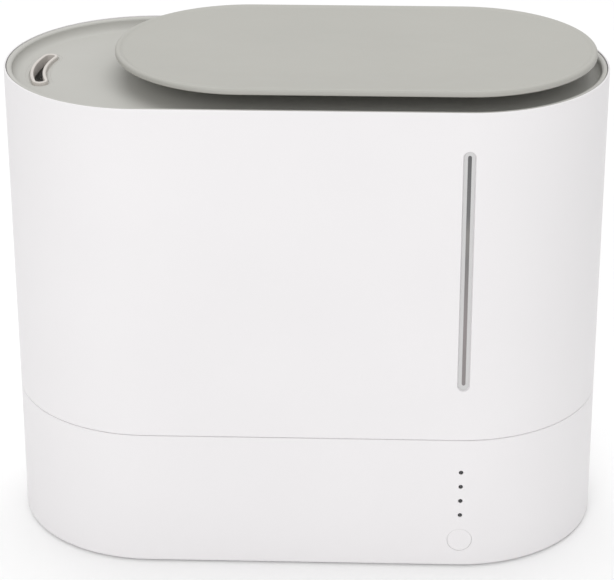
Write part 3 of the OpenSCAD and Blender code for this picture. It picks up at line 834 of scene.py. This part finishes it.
def fill_cover():
    """Grey plate with a rounded double edge, a fine step, a wide dish and the neck under it."""
    slot = Slot(COVER_HALF, (COVER_X, 0), arc_r=COVER_R, straight_n=16, arc_n=64)
    neck = mouth_slot()
    mesh = Mesh()
    under_z = COVER_TOP - COVER_T
    # (radius, rise) of the underside, from its flat middle to the edge
    under = [(44, 0), (47.2, 0.12), (50, 0.4), (54, 0.95), (58, 1.55), (62, 2.15), (63.6, 2.42)]
    profile = [(r, under_z + rise) for r, rise in under]
    profile += arc(COVER_R - 0.8, COVER_TOP - 2.4, 0.8, -80, 0, 6)
    profile += arc(COVER_R - 1.5, COVER_TOP - 1.5, 1.5, 0, 90, 10)
    # (inset, drop) of the step inside the edge, then an eased slope down to the flat middle
    step = [(2.0, 0.02), (2.4, 0.12), (2.8, 0.32), (3.2, 0.52), (3.6, 0.68)]
    profile += [(COVER_R - inset, COVER_TOP - drop) for inset, drop in step]
    for t in spread(0, 1, 12):
        eased = t * t * (3 - 2 * t)
        profile.append((COVER_R - DISH_INSET - DISH_W * t, COVER_TOP - DISH_STEP - DISH_DROP * eased))
    rings = slot.rings(mesh, profile)
    mesh.loft(rings)
    low = TRAY_Z + 0.2
    bevel = 0.3
    in_r, out_r = COVER_NECK
    tube = [(out_r, under_z), (out_r, low + bevel), (out_r - bevel, low), (in_r + bevel, low),
            (in_r, low + bevel), (in_r, under_z)]
    tube_rings = neck.rings(mesh, tube)
    mesh.loft(tube_rings)
    mesh.cap(rings[-1])
    mesh.cap(rings[0], [tube_rings[0]])
    mesh.cap(tube_rings[-1])
    mesh.make("cover_skin", cover_plastic, "cover", ["fill_cover"])


def power_button():
    """A round key whose face follows the wall, with a shallow dish, a flange and a stub behind."""
    mesh = Mesh()
    slot = Slot(HALF)
    centre_u = panel_u(PANEL_X)
    # (radius, depth behind the wall's face), then (radius, y) of the flange and the stub
    face = [(0.0, 0.30), (1.6, 0.28), (3.2, 0.23), (4.4, 0.17), (5.3, 0.1), (5.9, 0.1), (6.1, 0.14),
            (6.19, 0.24), (6.2, 0.5)]
    behind = [(6.2, -68.65), (7.2, -68.6), (7.2, -67.6), (2.0, -67.6), (2.0, -66.5), (1.8, -66.3),
              (0.0, -66.3)]
    rings = []
    for r, depth in face:
        places = [(centre_u + r * math.cos(a), BUTTON_Z + r * math.sin(a)) for a in around(72)]
        rings.append(mesh.ring([slot.point(u, wall_r(z) - depth, z) for u, z in places]))
    for r, y in behind:
        places = [(PANEL_X + r * math.cos(a), y, BUTTON_Z + r * math.sin(a)) for a in around(72)]
        rings.append(mesh.ring(places))
    mesh.loft(rings)
    mesh.make("button_skin", white_plastic, "button", ["power_button"])


def indicator_lenses():
    """Four domed lenses on a bar with round corners behind the wall."""
    mesh = Mesh()
    # (radius, depth behind the wall's face)
    dome = [(0.0, 0.1), (0.45, 0.13), (0.8, 0.22), (0.97, 0.4), (1.0, 0.7)]
    for i in range(DOT_COUNT):
        z = DOT_Z0 + i * DOT_PITCH
        front = wall_r(z)
        lens = [(r, front - depth) for r, depth in dome] + [(1.0, 67.6)]
        lathe(mesh, lens, (PANEL_X, 0, z), "front", 40)
    corner = arc(0, 0, 1, 0, 90, 4)
    low, high = DOT_Z0 - 3, DOT_Z0 + (DOT_COUNT - 1) * DOT_PITCH + 3
    corners = []
    for quadrant, (cx, cz) in enumerate([(1, high - 1), (-1, high - 1), (-1, low + 1), (1, low + 1)]):
        turn = math.pi / 2 * quadrant
        for x, z in corner:
            px = x * math.cos(turn) - z * math.sin(turn)
            pz = x * math.sin(turn) + z * math.cos(turn)
            corners.append((PANEL_X + cx + px, cz + pz))
    loops = [mesh.ring([(x, y, z) for x, z in corners]) for y in DOT_BAR_Y]
    mesh.loft(loops)
    mesh.cap(loops[0])
    mesh.cap(loops[1])
    mesh.make("indicator_skin", smoked_lens, "base", ["indicator_lenses"])


def rubber_feet():
    """Four round feet, each with two shallow grooves in its tread."""
    low, high = box_mm("rubber_feet")
    foot_r, foot_h, side_round = 8.0, 2.0, 0.8
    mesh = Mesh()
    tread = [(0, 0.25), (2.4, 0.25), (2.6, 0.15), (3.0, 0.15), (3.2, 0.25), (5.0, 0.25), (5.2, 0.0)]
    side = arc(foot_r - side_round, side_round, side_round, -90, 0, 5) + [(foot_r, foot_h), (0, foot_h)]
    for x in (low.x + foot_r, high.x - foot_r):
        for y in (low.y + foot_r, high.y - foot_r):
            lathe(mesh, tread + side, (x, y, 0))
    mesh.make("feet_skin", foot_rubber, "base", ["rubber_feet"])


def mist_duct():
    """The oval tube up through the tank, with a flange over the tank's floor."""
    slot = duct_slot()
    mesh = Mesh()
    low, high = DUCT_LO.z, DUCT_HI.z
    bevel = 0.3
    flange_low, flange_high = DUCT_FLANGE_Z
    profile = [(DUCT_IN_R, low + bevel), (DUCT_IN_R + bevel, low)]
    profile += [(DUCT_R - bevel, low), (DUCT_R, low + bevel)]
    profile += [(DUCT_R, flange_low), (DUCT_FLANGE_R - bevel, flange_low),
                (DUCT_FLANGE_R, flange_low + bevel), (DUCT_FLANGE_R, flange_high - bevel),
                (DUCT_FLANGE_R - bevel, flange_high), (DUCT_R + bevel, flange_high)]
    profile += [(DUCT_R, z) for z in spread(flange_high + bevel, high - bevel, 8)]
    profile += [(DUCT_R - bevel, high), (DUCT_IN_R + bevel, high), (DUCT_IN_R, high - bevel)]
    profile += [(DUCT_IN_R, z) for z in spread(high - bevel, low + bevel, 8)[1:-1]]
    rings = slot.rings(mesh, profile)
    mesh.loft(rings, closed=True)
    mesh.make("duct_skin", white_plastic, "tank", ["mist_duct"])


def bead(name, slot, r0, r1, z0, z1, body, node):
    """A soft seal with rounded edges along a slot-shaped path."""
    soft = min(r1 - r0, z1 - z0) * 0.35
    corners = [(r1 - soft, z1 - soft), (r0 + soft, z1 - soft),
               (r0 + soft, z0 + soft), (r1 - soft, z0 + soft)]
    profile = []
    for quadrant, (cx, cz) in enumerate(corners):
        profile += arc(cx, cz, soft, 90 * quadrant, 90 * quadrant + 90, 4)
    mesh = Mesh()
    mesh.loft(slot.rings(mesh, profile), closed=True)
    mesh.make(name, silicone, body, [node])


def seals():
    """The tray's, cover's, outlet's and duct's seals."""
    body = Slot(HALF)
    mouth = mouth_slot()
    duct = duct_slot()
    tray_top = LEDGE_Z + TRAY_SEAL_H
    gasket_top = DUCT_FLANGE_Z[0]
    bead("tray_seal_skin", body, RIM_R - 2.3, RIM_R - 1.35, LEDGE_Z, tray_top, "tray", "tray_seal")
    bead("cover_seal_skin", mouth, MOUTH_R - 0.4, COLLAR_R + 0.2, 244.2, 249.2, "cover", "cover_seal")
    bead("nozzle_seal_skin", duct, DUCT_IN_R, DUCT_R, PIPE_Z - 1.2, PIPE_Z, "tray", "nozzle_seal")
    bead("duct_gasket_skin", duct, DUCT_R + 0.3, DUCT_FLANGE_R, TANK_FLOOR_TOP, gasket_top,
         "tank", "duct_gasket")


def valve_spring():
    """A coil between the tank's valve guide and the plunger, drawn at one fixed length; the real one
    lengthens as the valve closes.
    """
    low, high = box_mm("valve_spring")
    centre = (low + high) / 2
    wire_r = 0.4
    coil_r = (high.x - low.x) / 2 - wire_r
    turns = 5.0
    flat = 0.1
    steps, sides = 200, 10
    mesh = Mesh()
    rings = []
    for i in range(steps + 1):
        t = i / steps
        a = 2 * math.pi * turns * t
        # half a turn lies flat at each end, and the rest climbs evenly
        climb = min(max((t - flat) / (1 - 2 * flat), 0), 1)
        z = mix(low.z + wire_r, high.z - wire_r, climb)
        ring = []
        for j in range(sides):
            b = 2 * math.pi * j / sides
            r = coil_r + wire_r * math.cos(b)
            up = wire_r * math.sin(b)
            ring.append((centre.x + r * math.cos(a), centre.y + r * math.sin(a), z + up))
        rings.append(mesh.ring(ring))
    mesh.loft(rings)
    mesh.cap(rings[0])
    mesh.cap(rings[-1])
    piece = mesh.make("spring_coil", steel, None, ["valve_spring"])
    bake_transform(piece)


base_shell()
tank_shell()
window_lens()
top_tray()
mist_nozzle()
fill_cover()
power_button()
indicator_lenses()
rubber_feet()
mist_duct()
seals()
valve_spring()

# every CAD node takes its slot's material; the ones replaced above don't show
for part in frame["record"]["subparts"]:
    data = frame["nodes"][part["node"]].data
    data.materials.clear()
    data.materials.append(SLOT_MATERIAL[part["material_slot"]])


# ---- studio ----
def area_light(name, location, target, size, power):
    data = bpy.data.lights.new(name, "AREA")
    data.shape = "RECTANGLE"
    data.size = size[0]
    data.size_y = size[1]
    data.energy = power
    light = bpy.data.objects.new(name, data)
    light.location = location
    light.rotation_euler = (Vector(target) - Vector(location)).to_track_quat("-Z", "Y").to_euler()
    scene.collection.objects.link(light)
    return light


floor_data = bpy.data.meshes.new("floor")
FLOOR_REACH = 8
floor_corners = [(x * FLOOR_REACH, y * FLOOR_REACH, 0) for x, y in ((-1, -1), (1, -1), (1, 1), (-1, 1))]
floor_data.from_pydata(floor_corners, [], [(0, 1, 2, 3)])
floor = bpy.data.objects.new("floor", floor_data)
scene.collection.objects.link(floor)
floor_material, _, floor_shader = node_material("floor")
floor_shader.inputs["Base Color"].default_value = (0.95, 0.95, 0.95, 1)
floor_shader.inputs["Roughness"].default_value = 0.9
floor_shader.inputs["Specular IOR Level"].default_value = 0.1
floor_shader.inputs["Emission Color"].default_value = (1, 1, 1, 1)
floor_shader.inputs["Emission Strength"].default_value = 0.025
floor_data.materials.append(floor_material)

world = bpy.data.worlds.new("studio")
world.use_nodes = True
background = world.node_tree.nodes["Background"]
background.inputs["Color"].default_value = (1.0, 1.0, 1.0, 1)
background.inputs["Strength"].default_value = 0.68
scene.world = world

overhead = area_light("overhead", (0.0, 0.55, 1.9), (0, 0.1, 0), (1.9, 1.5), 15.5)
key = area_light("key", (-0.3, -1.8, 1.05), (0, 0, 0.12), (1.1, 0.9), 11)

scene.view_settings.view_transform = "Standard"

camera_data = bpy.data.cameras.new("camera")
camera_data.lens = 135.5
camera_data.sensor_width = 36
camera_data.shift_x = -0.0110
camera_data.shift_y = -0.0340
camera_data.clip_start = 0.05
camera = bpy.data.objects.new("camera", camera_data)
camera.location = (0.042654, -1.087819, 0.623789)
target = Vector((0.00364, 0, 0.13319))
roll = math.radians(-0.062)
camera.rotation_euler = (target - camera.location).to_track_quat("-Z", "Y").to_euler()
camera.rotation_euler.rotate_axis("Z", roll)
scene.collection.objects.link(camera)
scene.camera = camera
